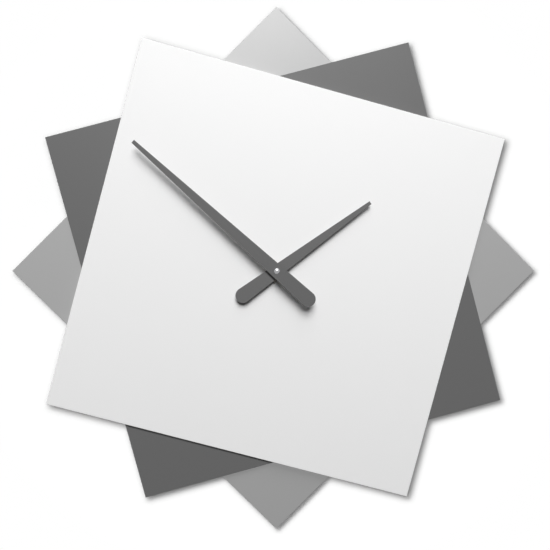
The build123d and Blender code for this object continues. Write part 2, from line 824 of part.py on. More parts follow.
# Rear cover over the gear chamber, held by snap hooks, with a dish for the knob
with BuildPart() as rear_cover:
    with BuildSketch(dial_plane(0)):
        RectangleRounded(2 * case_half, 2 * case_half, case_corner)
        with Locations((0, (divider_bottom + case_half) / 2)):
            Rectangle(2 * case_half, case_half - divider_bottom, mode=Mode.INTERSECT)
    extrude(amount=cover_thickness)
    chamfer(rear_cover.faces().sort_by(Axis.Y)[-1].edges(), case_chamfer)
    add_disc(setting_axis, 0, dish_floor_front, dish_radius + dish_wall)
    add_disc(setting_axis, 0, dish_floor_rear, dish_radius, Mode.SUBTRACT)
    add_disc(setting_axis, dish_floor_rear, dish_floor_front, setting_radius + running_gap, Mode.SUBTRACT)
    hook_outer = inner_half - slip_gap
    for along, side in snap_hooks:
        hook_middle = hook_outer - hook_thickness / 2
        hook_front = cover_thickness + hook_reach + hook_barb
        add_block(
            (along, hook_middle), cover_thickness, hook_front,
            hook_width, hook_thickness, clockwise=side,
        )
        add_block(
            (along, hook_outer), hook_front - hook_barb, hook_front,
            hook_width, 2 * hook_barb, clockwise=side,
        )
rear_cover.part.label = "rear_cover"
export_step(rear_cover.part, "parts/rear_cover.step")

# Hanger bracket: a plate on the bush, a joggle back over the case, and a keyhole for the wall screw
with BuildPart() as hanger_bracket:
    with BuildSketch(Plane.YZ):
        with BuildLine():
            Polyline(
                (-case_depth, -hanger_drop),
                (-case_depth, hanger_bend),
                (-eye_rear, hanger_bend + hanger_setback),
                (-eye_rear, hanger_top),
                (-eye_rear - hanger_sheet, hanger_top),
                (-eye_rear - hanger_sheet, hanger_bend + hanger_setback + hanger_sheet / 2),
                (-hanger_front, hanger_bend + hanger_sheet / 2),
                (-hanger_front, -hanger_drop),
                close=True,
            )
        make_face()
    extrude(amount=hanger_width / 2, both=True)
    fillet(hanger_bracket.edges().filter_by(Axis.Y).group_by(Axis.Z)[-1], hanger_corner)
    add_disc(hand_axis, case_depth, hanger_front, panel_bore, Mode.SUBTRACT)
    with BuildSketch(dial_plane(eye_rear)):
        with Locations((0, eye_z)):
            Circle(eye_radius)
        with Locations((0, eye_z + eye_slot_length)):
            Circle(eye_slot_radius)
        with Locations((0, eye_z + eye_slot_length / 2)):
            Rectangle(2 * eye_slot_radius, eye_slot_length)
    extrude(amount=hanger_sheet, mode=Mode.SUBTRACT)
hanger_bracket.part.label = "hanger_bracket"
export_step(hanger_bracket.part, "parts/hanger_bracket.step")

# Square rubber washer between the hanger and the panels
with BuildPart() as rubber_washer:
    add_block(hand_axis, hanger_front, rear_panel_rear, rubber_width, rubber_width)
    add_disc(hand_axis, hanger_front, rear_panel_rear, panel_bore, Mode.SUBTRACT)
rubber_washer.part.label = "rubber_washer"
export_step(rubber_washer.part, "parts/rubber_washer.step")

# Brass washer and hexagon nut on the face, both hidden behind the hands
with BuildPart() as brass_washer:
    add_disc(hand_axis, dial_front, washer_front, washer_radius)
    add_disc(hand_axis, dial_front, washer_front, panel_bore, Mode.SUBTRACT)
brass_washer.part.label = "brass_washer"
export_step(brass_washer.part, "parts/brass_washer.step")

with BuildPart() as fixing_nut:
    with BuildSketch(dial_plane(washer_front)):
        RegularPolygon(nut_across_flats / 2, 6, major_radius=False)
        Circle(bush_radius, mode=Mode.SUBTRACT)
    extrude(amount=nut_thickness)
fixing_nut.part.label = "fixing_nut"
export_step(fixing_nut.part, "parts/fixing_nut.step")
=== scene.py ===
import json
import math

import bmesh
import bpy
from mathutils import Matrix, Vector


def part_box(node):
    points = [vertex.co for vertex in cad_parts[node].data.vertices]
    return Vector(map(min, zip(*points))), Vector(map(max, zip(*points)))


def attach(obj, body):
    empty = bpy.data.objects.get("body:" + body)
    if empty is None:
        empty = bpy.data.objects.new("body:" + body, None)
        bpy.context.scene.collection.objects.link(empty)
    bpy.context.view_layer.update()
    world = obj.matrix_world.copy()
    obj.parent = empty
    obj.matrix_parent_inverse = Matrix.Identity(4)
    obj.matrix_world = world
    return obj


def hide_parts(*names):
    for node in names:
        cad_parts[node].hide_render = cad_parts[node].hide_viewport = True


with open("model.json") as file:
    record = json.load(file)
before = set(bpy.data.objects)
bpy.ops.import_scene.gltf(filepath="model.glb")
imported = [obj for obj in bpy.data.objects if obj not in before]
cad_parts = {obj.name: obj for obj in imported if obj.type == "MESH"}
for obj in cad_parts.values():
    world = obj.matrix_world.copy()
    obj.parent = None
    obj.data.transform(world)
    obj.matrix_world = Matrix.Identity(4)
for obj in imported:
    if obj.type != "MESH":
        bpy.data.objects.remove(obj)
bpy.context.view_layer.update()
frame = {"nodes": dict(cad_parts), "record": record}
nodes = frame["nodes"]

# Sizes are in metres, angles in degrees. The clock faces -Y, and its flat back lies in the plane Y = 0.

# Camera that matches the photograph, from a fit to the corners of the three panels
image_width = 550
focal_pixels = 449.9
camera_azimuth = -1.248
camera_elevation = 1.187
camera_distance = 0.3841
aim_x = -0.00136
aim_z = -0.00347
near_clip = 0.01

# Front of the white panel, taken from the frame
dial_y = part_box("front_panel")[0].y
dial_centre = Vector((0.0, dial_y, 0.0))

# Softened edges: their widths, the steps across them, and the angle from which a CAD edge is softened
hand_edge = 0.00004
case_edge = 0.0003
knob_edge = 0.0002
sheet_edge = 0.00012
nut_edge = 0.0003
hand_edge_steps = 2
edge_steps = 3
edge_angle = 40.0

# Limits for meshes: an edge shaded as sharp, points in one place, faces in one plane
sharp_angle = 35.0
weld_distance = 0.000001
flat_angle = 0.1

# Straight steps in round shapes
round_steps = 64
tail_steps = 40
arc_steps = 16
corner_steps = 6

# Cap on the hands: the dome's radius and the bevel at its foot
cap_dome = 0.0031
cap_foot = 0.0002

# Battery: its button, its steel ends and the film sleeve that is turned in over them
button_height = 0.0012
button_radius = 0.0027
button_round = 0.0004
sleeve_round = 0.0008
sleeve_lip = 0.0012
end_sink = 0.0003
end_plate = 0.0003
minus_plate = 0.0046

# Printed bands on the sleeve: where they start, as shares of the length from the minus end, and colours
line_start = 0.74
line_end = 0.76
pale_start = 0.78
film_slate = (0.06, 0.075, 0.1, 1.0)
film_line = (0.3, 0.32, 0.35, 1.0)
film_pale = (0.55, 0.57, 0.6, 1.0)

# Signs sunk in the rear cover
sign_depth = 0.0003
sign_arm = 0.0019
sign_half_width = 0.00045
sign_from_side = 0.0075
sign_from_bottom = 0.0032
arrow_radius = 0.0084
arrow_half_width = 0.0004
arrow_head_half = 0.0012
arrow_head_turn = 15.0
arrow_span = (58.0, 122.0)

# Coil's wire: scale and wander of the texture's turns, and the colours between and on them, which are a
# painted shade between the turns and a painted highlight on them
wire_scale = 900.0
wire_wander = 0.6
wire_painted_groove_shade = (0.32, 0.09, 0.03, 1.0)
wire_painted_turn_highlight = (0.72, 0.28, 0.1, 1.0)

# Relief of the finishes: how strongly it shades, and its depth where a kind of finish has one depth
soft_strength = 0.5
metal_strength = 0.3
wire_strength = 0.8
film_strength = 0.3
ring_depth = 0.000004
line_depth = 0.00001
wire_depth = 0.00006
film_depth = 0.00001

# Rolling lines are drawn out along X
line_stretch = (0.06, 1.0, 1.0)

# Lamps on the front: lean up from the dial's normal and to the left, distance, size and power of each.
# The first lights the white panel, the minute hand and the small pieces. The other two light the white
# panel alone: one rakes it from above, and the minute hand doesn't shade the other, so that the hands'
# shadows aren't black.
dial_key = (41.0, -3.0, 2.4, 1.46, 68.6)
dial_rake = (66.0, -3.0, 2.4, 1.2, 14.0)
dial_fill = (41.0, -3.0, 2.4, 1.46, 3.2)

# One lamp for the hour hand, and a broad one for the cap, whose upper half mirrors it
hour_hand_key = (26.0, -3.0, 2.0, 0.4, 37.0)
cap_key = (50.0, 0.0, 1.5, 2.1, 26.0)

# One lamp for the dark panel, and two for the light grey one: the panels in front shade only the second
middle_key = (42.0, 1.0, 4.0, 0.96, 206.0)
rear_key = (44.0, 4.0, 1.8, 1.2, 36.8)
rear_shade_key = (58.0, 4.0, 1.8, 1.2, 16.0)

# Even light from all sides
ambient = 0.012

# Light on the back and the edges: place and power of each lamp behind the dial's plane
back_lamps = (
    ((-0.9, 1.2, 0.9), 18.0),
    ((1.2, 1.2, 0.2), 9.0),
    ((-1.2, 1.2, -0.6), 7.0),
    ((0.2, 1.2, -1.2), 9.0),
)
back_lamp_size = 0.8

# Light on the wall: size and power of a small and a large lamp in one place near the camera, whose
# shadows add up to one soft edge
wash_offset = (-0.0345, 0.033, 0.0355)
wash_lamps = ((0.066, 8.65), (0.151, 10.25))

# Wall behind the clock: the paint's tone, the share of glowing white that is mixed into it near the clock as
# painted light that lightens the clock's shadow there, and the distances from the middle between which plain
# white takes over
wall_size = 4.0
wall_gap = 0.0005
wall_tone = 0.2
wall_glow = 0.15
wall_fade = (0.26, 0.3)


# Shader nodes

def place(tree, kind, **values):
    """Add a shader node and set its properties, or its inputs by name."""
    node = tree.nodes.new(kind)
    for key, value in values.items():
        label = key.replace("_", " ")
        if label in node.inputs:
            node.inputs[label].default_value = value
        else:
            setattr(node, key, value)
    return node


def link(tree, source, target):
    """Join an output socket to an input socket."""
    tree.links.new(source, target)


def feed(tree, target, value):
    """Set an input socket from a number, a tuple of numbers or another socket."""
    if isinstance(value, (int, float, tuple)):
        target.default_value = value
    else:
        link(tree, value, target)


def maths(tree, operation, first, second=0.0):
    """Math node on one or two values, each a socket or a number; returns its output."""
    node = place(tree, "ShaderNodeMath", operation=operation)
    feed(tree, node.inputs[0], first)
    feed(tree, node.inputs[1], second)
    return node.outputs[0]


def vector_maths(tree, operation, first, second=(0.0, 0.0, 0.0)):
    """Vector Math node on one or two points, each a socket or a tuple; returns the node."""
    node = place(tree, "ShaderNodeVectorMath", operation=operation)
    feed(tree, node.inputs[0], first)
    feed(tree, node.inputs[1], second)
    return node


def mix_shaders(tree, share, first, second):
    """Mix of two shaders, by the second one's share; returns its output."""
    node = tree.nodes.new("ShaderNodeMixShader")
    for socket, source in zip(node.inputs, (share, first, second)):
        link(tree, source, socket)
    return node.outputs[0]


def own_place(tree, stretch=(1.0, 1.0, 1.0)):
    """The surface point in the piece's own coordinates, in metres, stretched along the axes."""
    spot = tree.nodes.new("ShaderNodeTexCoord")
    mapping = place(tree, "ShaderNodeMapping", Scale=stretch)
    link(tree, spot.outputs["Object"], mapping.inputs["Vector"])
    return mapping.outputs["Vector"]


def noise(tree, point, scale, detail=2.0):
    """Noise from 0 to 1 over points; scale is a number or a socket, in waves per metre."""
    field = place(tree, "ShaderNodeTexNoise", Detail=detail)
    link(tree, point, field.inputs["Vector"])
    feed(tree, field.inputs["Scale"], scale)
    return field.outputs["Fac"]


def about_zero(tree, field):
    """Noise from 0 to 1 moved down to lie about zero."""
    return maths(tree, "SUBTRACT", field, 0.5)


def shift_tone(tree, colour, shift):
    """Colour made lighter or darker by a share; returns the new colour."""
    tone = tree.nodes.new("ShaderNodeHueSaturation")
    link(tree, maths(tree, "ADD", shift, 1.0), tone.inputs["Value"])
    link(tree, colour, tone.inputs["Color"])
    return tone.outputs["Color"]


def start_group(name, inputs, outputs):
    """New shader group with named float or colour sockets; returns its tree and both sets of sockets."""
    tree = bpy.data.node_groups.new(name, "ShaderNodeTree")
    for label, value in inputs.items():
        kind = "NodeSocketColor" if isinstance(value, tuple) else "NodeSocketFloat"
        tree.interface.new_socket(label, in_out="INPUT", socket_type=kind).default_value = value
    for label in outputs:
        kind = "NodeSocketColor" if label == "Colour" else "NodeSocketFloat"
        tree.interface.new_socket(label, in_out="OUTPUT", socket_type=kind)
    return tree, tree.nodes.new("NodeGroupInput").outputs, tree.nodes.new("NodeGroupOutput").inputs


def make_surface_drift():
    """Slow drift of tone and roughness with a fine relief, as on sprayed or moulded surfaces."""
    inputs = {"Colour": (0.5, 0.5, 0.5, 1.0), "Drift": 0.03, "Drift scale": 14.0, "Roughness": 0.5,
              "Roughness drift": 0.08, "Relief scale": 500.0}
    tree, inlet, outlet = start_group("surface_drift", inputs, ("Colour", "Roughness", "Height"))
    point = own_place(tree)
    slow = about_zero(tree, noise(tree, point, inlet["Drift scale"]))
    shift = maths(tree, "MULTIPLY", slow, inlet["Drift"])
    link(tree, shift_tone(tree, inlet["Colour"], shift), outlet["Colour"])
    swing = maths(tree, "MULTIPLY", slow, inlet["Roughness drift"])
    link(tree, maths(tree, "ADD", swing, inlet["Roughness"]), outlet["Roughness"])
    link(tree, noise(tree, point, inlet["Relief scale"], detail=3.0), outlet["Height"])
    return tree


def make_turned_rings():
    """Fine tool rings around the hands' axis, as a height and a roughness that follows it."""
    inputs = {"Rings": 9000.0, "Roughness": 0.3, "Roughness swing": 0.12}
    tree, inlet, outlet = start_group("turned_rings", inputs, ("Roughness", "Height"))
    reach = vector_maths(tree, "LENGTH", own_place(tree, (1.0, 0.0, 1.0)))
    rings = place(tree, "ShaderNodeTexNoise", noise_dimensions="1D")
    link(tree, reach.outputs["Value"], rings.inputs["W"])
    link(tree, inlet["Rings"], rings.inputs["Scale"])
    height = rings.outputs["Fac"]
    swing = maths(tree, "MULTIPLY", about_zero(tree, height), inlet["Roughness swing"])
    link(tree, maths(tree, "ADD", swing, inlet["Roughness"]), outlet["Roughness"])
    link(tree, height, outlet["Height"])
    return tree


def make_rolled_lines():
    """Rolling and brushing lines that run across a sheet, with brighter and duller patches of plating."""
    inputs = {"Colour": (0.5, 0.5, 0.5, 1.0), "Lines": 900.0, "Roughness": 0.35, "Patch": 0.14,
              "Patch scale": 160.0}
    tree, inlet, outlet = start_group("rolled_lines", inputs, ("Colour", "Roughness", "Height"))
    patches = about_zero(tree, noise(tree, own_place(tree), inlet["Patch scale"]))
    shift = maths(tree, "MULTIPLY", patches, inlet["Patch"])
    link(tree, shift_tone(tree, inlet["Colour"], shift), outlet["Colour"])
    link(tree, maths(tree, "SUBTRACT", inlet["Roughness"], shift), outlet["Roughness"])
    lines = noise(tree, own_place(tree, line_stretch), inlet["Lines"], detail=4.0)
    link(tree, lines, outlet["Height"])
    return tree


surface_drift = make_surface_drift()
turned_rings = make_turned_rings()
rolled_lines = make_rolled_lines()


# Finishes

def start_material(name, **shader_values):
    """New material with values on its shader's own sockets; returns it, its tree and the shader."""
    material = bpy.data.materials.new(name)
    material.use_nodes = True
    shader = material.node_tree.nodes["Principled BSDF"]
    for socket, value in shader_values.items():
        shader.inputs[socket.replace("_", " ")].default_value = value
    return material, material.node_tree, shader


def add_relief(tree, shader, height, strength, depth):
    """Bump from a height that runs from 0 to 1 over a depth in metres."""
    bump = place(tree, "ShaderNodeBump", Strength=strength, Distance=depth)
    link(tree, height, bump.inputs["Height"])
    link(tree, bump.outputs["Normal"], shader.inputs["Normal"])


def join_group(tree, shader, group, strength, depth, **values):
    """Place a shared group in a material with its own values, and join what it puts out to the shader."""
    node = place(tree, "ShaderNodeGroup", node_tree=group, **values)
    if "Colour" in node.outputs:
        link(tree, node.outputs["Colour"], shader.inputs["Base Color"])
    link(tree, node.outputs["Roughness"], shader.inputs["Roughness"])
    add_relief(tree, shader, node.outputs["Height"], strength, depth)
    return node


def drifting(name, colour, roughness, drift, relief_scale, relief_depth, **shader_values):
    """Lacquer, paint, plastic or rubber: a colour that drifts a little over a fine relief."""
    material, tree, shader = start_material(name, **shader_values)
    join_group(tree, shader, surface_drift, soft_strength, relief_depth, Colour=(*colour, 1.0),
               Drift=drift, Roughness=roughness, Relief_scale=relief_scale)
    return material


def turned(name, colour, roughness, rings):
    """Metal turned on a lathe around the hands' axis."""
    material, tree, shader = start_material(name, Metallic=1.0, Base_Color=(*colour, 1.0))
    join_group(tree, shader, turned_rings, metal_strength, ring_depth, Rings=rings, Roughness=roughness)
    return material


def rolled(name, colour, roughness, metallic=1.0):
    """Sheet metal with rolling lines and patches of plating."""
    material, tree, shader = start_material(name, Metallic=metallic)
    join_group(tree, shader, rolled_lines, metal_strength, line_depth, Colour=(*colour, 1.0),
               Roughness=roughness)
    return material


def wound_copper(name):
    """Enamelled wire laid side by side around the coil, which lies along X, with painted shade between the
    turns and a painted highlight on them.
    """
    material, tree, shader = start_material(name, Metallic=1.0, Roughness=0.3, Coat_Weight=0.4)
    turns = place(tree, "ShaderNodeTexWave", bands_direction="X", wave_profile="SIN",
                  Scale=wire_scale, Distortion=wire_wander)
    link(tree, own_place(tree), turns.inputs["Vector"])
    # Painted shade between the turns and a painted highlight on them, from the same wave as the relief
    wire = place(tree, "ShaderNodeMix", data_type="RGBA", A=wire_painted_groove_shade, B=wire_painted_turn_highlight)
    link(tree, turns.outputs["Fac"], wire.inputs["Factor"])
    link(tree, wire.outputs["Result"], shader.inputs["Base Color"])
    add_relief(tree, shader, turns.outputs["Fac"], wire_strength, wire_depth)
    return material


def sleeve_film(name):
    """Printed film on the battery: slate grey, with a pale band at the positive end."""
    material, tree, shader = start_material(name, Coat_Weight=0.3)
    low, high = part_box("battery")
    axis = tree.nodes.new("ShaderNodeSeparateXYZ")
    link(tree, own_place(tree), axis.inputs["Vector"])
    share = maths(tree, "DIVIDE", maths(tree, "SUBTRACT", axis.outputs["X"], low.x), high.x - low.x)
    bands = tree.nodes.new("ShaderNodeValToRGB")
    link(tree, share, bands.inputs["Fac"])
    bands.color_ramp.interpolation = "CONSTANT"
    stops = bands.color_ramp.elements
    stops.remove(stops[1])
    stops[0].color = film_slate
    for start, colour in ((line_start, film_line), (line_end, film_slate), (pale_start, film_pale)):
        stops.new(start).color = colour
    group = join_group(tree, shader, surface_drift, film_strength, film_depth, Drift=0.05,
                       Roughness=0.28, Relief_scale=900.0)
    link(tree, bands.outputs["Color"], group.inputs["Colour"])
    return material


# Each drifting finish has a colour, roughness, drift of tone, and its relief's waves per metre and depth.
# Each turned metal has a colour, roughness and rings per metre, each rolled one a colour and roughness.
materials = {
    "white_lacquer": drifting("white_lacquer", (0.86, 0.86, 0.86), 0.55, 0.01, 650.0, 0.00001,
                              Specular_IOR_Level=0.25),
    "dark_grey_lacquer": drifting("dark_grey_lacquer", (0.095, 0.095, 0.095), 0.6, 0.03, 650.0, 0.00001),
    "light_grey_lacquer": drifting("light_grey_lacquer", (0.36, 0.36, 0.36), 0.36, 0.02, 650.0, 0.000005),
    "hand_paint": drifting("hand_paint", (0.105, 0.105, 0.105), 0.65, 0.04, 2600.0, 0.00002),
    "polished_steel": turned("polished_steel", (0.36, 0.36, 0.37), 0.24, 6000.0),
    "brass": turned("brass", (0.6, 0.49, 0.3), 0.32, 9000.0),
    "zinc_plated_steel": rolled("zinc_plated_steel", (0.44, 0.45, 0.47), 0.42),
    "black_rubber": drifting("black_rubber", (0.02, 0.02, 0.02), 0.8, 0.2, 1800.0, 0.00004),
    "black_plastic": drifting("black_plastic", (0.026, 0.026, 0.028), 0.48, 0.1, 2800.0, 0.00006),
    "knob_plastic": drifting("knob_plastic", (0.045, 0.045, 0.047), 0.4, 0.08, 2400.0, 0.000015),
    "natural_plastic": drifting("natural_plastic", (0.78, 0.75, 0.68), 0.45, 0.05, 1500.0, 0.00001),
    "white_gear_plastic": drifting("white_gear_plastic", (0.84, 0.84, 0.82), 0.4, 0.03, 1500.0, 0.00001),
    "soft_iron": rolled("soft_iron", (0.33, 0.33, 0.34), 0.42),
    "magnet": rolled("magnet", (0.14, 0.14, 0.15), 0.45, metallic=0.6),
    "copper_wire": wound_copper("copper_wire"),
    "board": drifting("board", (0.3, 0.18, 0.07), 0.5, 0.25, 900.0, 0.00002),
    "black_resin": drifting("black_resin", (0.014, 0.014, 0.015), 0.16, 0.1, 300.0, 0.00003),
    "battery_jacket": sleeve_film("battery_jacket"),
}
for subpart in frame["record"]["subparts"]:
    for material_slot in nodes[subpart["node"]].material_slots:
        material_slot.material = materials[subpart["material_slot"]]


# Outlines

def polar(centre, radius, direction):
    """Point at a distance from a centre, in a direction in degrees."""
    turn = math.radians(direction)
    return (centre[0] + radius * math.cos(turn), centre[1] + radius * math.sin(turn))


def arc(centre, radius, start, end, steps=corner_steps):
    """Points of an arc between two directions in degrees."""
    return [polar(centre, radius, start + (end - start) * step / steps) for step in range(steps + 1)]


def ring_loop(centre, radius):
    """Closed circle."""
    return arc(centre, radius, 0, 360, round_steps)[:-1]


# Meshes

def add_piece(name, mesh, body, slot, *replaced):
    """Put a finished mesh in the scene on a body, with a finish, in place of CAD nodes."""
    piece = bpy.data.objects.new(name, mesh)
    bpy.context.scene.collection.objects.link(piece)
    mesh.materials.clear()
    mesh.materials.append(materials[slot])
    mesh.shade_smooth()
    mesh.set_sharp_from_angle(angle=math.radians(sharp_angle))
    even = piece.modifiers.new("even_shading", "WEIGHTED_NORMAL")
    even.keep_sharp = True
    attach(piece, body)
    if replaced:
        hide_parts(*replaced)
    return piece


def soften(name, width):
    """Round the sharp edges of a CAD node."""
    bevel = nodes[name].modifiers.new("softened_edges", "BEVEL")
    bevel.width = width
    bevel.segments = edge_steps
    bevel.limit_method = "ANGLE"
    bevel.angle_limit = math.radians(edge_angle)


def weld(mesh, flatten=False):
    """Join the points of a mesh that lie in one place and, if asked to, faces that lie in one plane."""
    joined = bmesh.new()
    joined.from_mesh(mesh)
    bmesh.ops.remove_doubles(joined, verts=joined.verts, dist=weld_distance)
    if flatten:
        bmesh.ops.dissolve_limit(joined, angle_limit=math.radians(flat_angle), verts=joined.verts,
                                 edges=joined.edges)
    joined.to_mesh(mesh)
    joined.free()


def prism_mesh(name, loops, rear_y, front_y):
    """Straight prisms along Y from closed loops of x and z."""
    shape = bmesh.new()
    for loop in loops:
        rear = [shape.verts.new((x, rear_y, z)) for x, z in loop]
        front = [shape.verts.new((x, front_y, z)) for x, z in loop]
        shape.faces.new(rear)
        shape.faces.new(front)
        for step in range(len(loop)):
            shape.faces.new((rear[step - 1], front[step - 1], front[step], rear[step]))
    bmesh.ops.recalc_face_normals(shape, faces=shape.faces)
    mesh = bpy.data.meshes.new(name)
    shape.to_mesh(mesh)
    shape.free()
    return mesh


def lathe_mesh(name, profile, origin, axis):
    """Solid of revolution from points of (distance along the axis, radius)."""
    turn = Vector(axis).to_track_quat("Z", "Y").to_matrix().to_4x4()
    stand = Matrix.Translation(origin) @ turn
    spots, faces = [], []
    for along, radius in profile:
        spots += [stand @ Vector((x, y, along)) for x, y in ring_loop((0.0, 0.0), radius)]
    for ring in range(len(profile) - 1):
        for step in range(round_steps):
            here, beside = ring * round_steps + step, ring * round_steps + (step + 1) % round_steps
            faces.append((here, beside, beside + round_steps, here + round_steps))
    mesh = bpy.data.meshes.new(name)
    mesh.from_pydata(spots, [], faces)
    weld(mesh)
    return mesh


def cut_away(whole_mesh, cutter_mesh):
    """Take one mesh away from another; returns what is left as a new mesh."""
    whole = bpy.data.objects.new("whole", whole_mesh)
    cutter = bpy.data.objects.new("cutter", cutter_mesh)
    for thing in (whole, cutter):
        bpy.context.scene.collection.objects.link(thing)
    cut = whole.modifiers.new("cut", "BOOLEAN")
    cut.operation = "DIFFERENCE"
    cut.solver = "EXACT"
    cut.object = cutter
    graph = bpy.context.evaluated_depsgraph_get()
    mesh = bpy.data.meshes.new_from_object(whole.evaluated_get(graph))
    for thing in (whole, cutter):
        bpy.data.objects.remove(thing)
    return mesh


# Hands

def hand_loops(node, collet):
    """Outline of a hand and its collet's hole, with the lengths, widths and angle that the frame has."""
    spots = [Vector((vertex.co.x, vertex.co.z)) for vertex in nodes[node].data.vertices]
    far = max(spots, key=lambda spot: spot.length)
    twin = max((spot for spot in spots if (spot - far).length > hand_edge), key=lambda spot: spot.length)
    tip = (far + twin) / 2
    along = tip.normalized()
    across = Vector((along.y, -along.x))
    half_tip = (far - twin).length / 2
    tail_radius = max(spot.dot(across) for spot in spots)
    tail = min(spot.dot(along) for spot in spots) + tail_radius
    reach = math.hypot(half_tip, tip.length - tail)
    touch = math.atan2(half_tip, tip.length - tail) + math.acos(tail_radius / reach)
    outline = [tip + across * half_tip]
    for step in range(tail_steps + 1):
        turn = touch + (2 * math.pi - 2 * touch) * step / tail_steps
        outline.append(along * (tail + tail_radius * math.cos(turn)) + across * tail_radius * math.sin(turn))
    outline.append(tip - across * half_tip)
    collet_low, collet_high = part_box(collet)
    return [outline[::-1], ring_loop((0.0, 0.0), (collet_high.x - collet_low.x) / 2)[::-1]]


def sheet_mesh(name, loops, rear_y, front_y):
    """Flat sheet in the dial's plane with softened edges, filled between its loops of x and z."""
    curve = bpy.data.curves.new(name, "CURVE")
    curve.dimensions = "2D"
    curve.fill_mode = "BOTH"
    curve.extrude = (rear_y - front_y) / 2 - hand_edge
    curve.bevel_depth = hand_edge
    curve.bevel_resolution = hand_edge_steps
    curve.offset = -hand_edge
    for loop in loops:
        spline = curve.splines.new("POLY")
        spline.points.add(len(loop) - 1)
        for point, (x, z) in zip(spline.points, loop):
            point.co = (x, z, 0.0, 1.0)
        spline.use_cyclic_u = True
    holder = bpy.data.objects.new(name + "_outline", curve)
    mesh = bpy.data.meshes.new_from_object(holder)
    bpy.data.objects.remove(holder)
    bpy.data.curves.remove(curve)

    # The curve lies in X and Y, and is turned up to face -Y
    middle = (rear_y + front_y) / 2
    mesh.transform(Matrix(((1, 0, 0, 0), (0, 0, -1, middle), (0, 1, 0, 0), (0, 0, 0, 1))))
    return mesh


def make_hand(node, collet, body):
    """Flat tapered hand with a round tail and softened edges."""
    low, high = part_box(node)
    mesh = sheet_mesh(node + "_blade", hand_loops(node, collet), high.y, low.y)
    return add_piece(node + "_blade", mesh, body, "hand_paint", node)


def make_cap():
    """Polished cap: a short skirt under a dome."""
    low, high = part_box("hand_cap")
    radius, height = (high.x - low.x) / 2, high.y - low.y
    rise = math.degrees(math.acos(radius / cap_dome))
    dome = arc((height - cap_dome, 0.0), cap_dome, 90 - rise, 0, arc_steps)
    profile = [(0.0, 0.0), (0.0, radius - cap_foot), (cap_foot, radius), *dome]
    mesh = lathe_mesh("hand_cap_dome", profile, (0.0, high.y, 0.0), (0, -1, 0))
    return add_piece("hand_cap_dome", mesh, "minute_work", "polished_steel", "hand_cap")


minute_blade = make_hand("minute_hand", "minute_hand_bushing", "minute_work")
hour_blade = make_hand("hour_hand", "hour_hand_bushing", "hour_work")
cap = make_cap()


# Battery

def make_battery():
    """Battery as a film sleeve turned in over two crimped steel ends."""
    low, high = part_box("battery")
    origin = Vector((low.x, (low.y + high.y) / 2, (low.z + high.z) / 2))
    radius = (high.z - low.z) / 2
    can = high.x - low.x - button_height
    lip = radius - sleeve_lip
    shoulder = can - end_sink
    button_top = can + button_height

    sleeve = [(end_sink, lip), (0.0, lip)]
    sleeve += arc((sleeve_round, radius - sleeve_round), sleeve_round, 180, 90)
    sleeve += arc((can - sleeve_round, radius - sleeve_round), sleeve_round, 90, 0)
    sleeve += [(can, lip), (shoulder, lip), (end_sink, lip)]

    minus_end = [(0.0, 0.0), (0.0, minus_plate), (end_sink, minus_plate + end_sink), (end_sink, lip)]
    minus_end += [(end_sink + end_plate, lip), (end_sink + end_plate, 0.0)]

    plus_end = [(shoulder - end_plate, 0.0), (shoulder - end_plate, lip), (shoulder, lip)]
    plus_end += arc((shoulder + button_round, button_radius + button_round), button_round, 180, 270)
    plus_end += arc((button_top - button_round, button_radius - button_round), button_round, 90, 0)
    plus_end.append((button_top, 0.0))

    for name, profile, slot, replaced in (
        ("battery_sleeve", sleeve, "battery_jacket", ["battery"]),
        ("battery_minus_end", minus_end, "zinc_plated_steel", []),
        ("battery_plus_end", plus_end, "zinc_plated_steel", []),
    ):
        add_piece(name, lathe_mesh(name, profile, origin, (1, 0, 0)), "battery_cell", slot, *replaced)


make_battery()


# Rear cover with its moulded signs

def plus_loop(centre):
    """Closed outline of a plus sign."""
    corners = [(sign_half_width, sign_arm), (sign_half_width, sign_half_width), (sign_arm, sign_half_width)]
    points = []
    for _ in range(4):
        points += corners
        corners = [(z, -x) for x, z in corners]
    return [(centre[0] + x, centre[1] + z) for x, z in points]


def minus_loop(centre):
    """Closed outline of a minus sign."""
    x, z = centre
    return [(x - sign_arm, z - sign_half_width), (x + sign_arm, z - sign_half_width),
            (x + sign_arm, z + sign_half_width), (x - sign_arm, z + sign_half_width)]


def arrow_head(centre, foot_turn, point_turn, way):
    """Three points of an arrow's head; way is 1 from its outer side inwards and -1 outwards."""
    half = way * arrow_head_half
    spots = ((half, foot_turn), (0.0, point_turn), (-half, foot_turn))
    return [polar(centre, arrow_radius + out, turn) for out, turn in spots]


def arrow_loop(centre):
    """Closed outline of a curved arrow with a head at each end, around the knob."""
    start, end = arrow_span
    outer = arc(centre, arrow_radius + arrow_half_width, start, end, arc_steps)
    inner = arc(centre, arrow_radius - arrow_half_width, end, start, arc_steps)
    end_head = arrow_head(centre, end, end + arrow_head_turn, 1)
    start_head = arrow_head(centre, start, start - arrow_head_turn, -1)
    return outer + end_head + inner + start_head


def make_rear_cover():
    """Rear cover with sunk signs: a plus and a minus beside the battery, an arrow around the knob."""
    cover_low, cover_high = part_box("rear_cover")
    knob_low, knob_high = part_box("setting_knob")
    knob_centre = (knob_low + knob_high) / 2
    sign_z = cover_low.z + sign_from_bottom
    signs = [
        plus_loop((cover_high.x - sign_from_side, sign_z)),
        minus_loop((cover_low.x + sign_from_side, sign_z)),
        arrow_loop((knob_centre.x, knob_centre.z)),
    ]
    plain = nodes["rear_cover"].data.copy()
    weld(plain)
    mesh = cut_away(plain, prism_mesh("cover_signs", signs, sign_depth, -sign_depth))

    # The CAD mesh brings its own normals, which don't fit the cut faces
    own_normals = mesh.attributes.get("custom_normal")
    if own_normals:
        mesh.attributes.remove(own_normals)
    weld(mesh, flatten=True)
    return add_piece("rear_cover_moulding", mesh, "clock_body", "black_plastic", "rear_cover")


make_rear_cover()

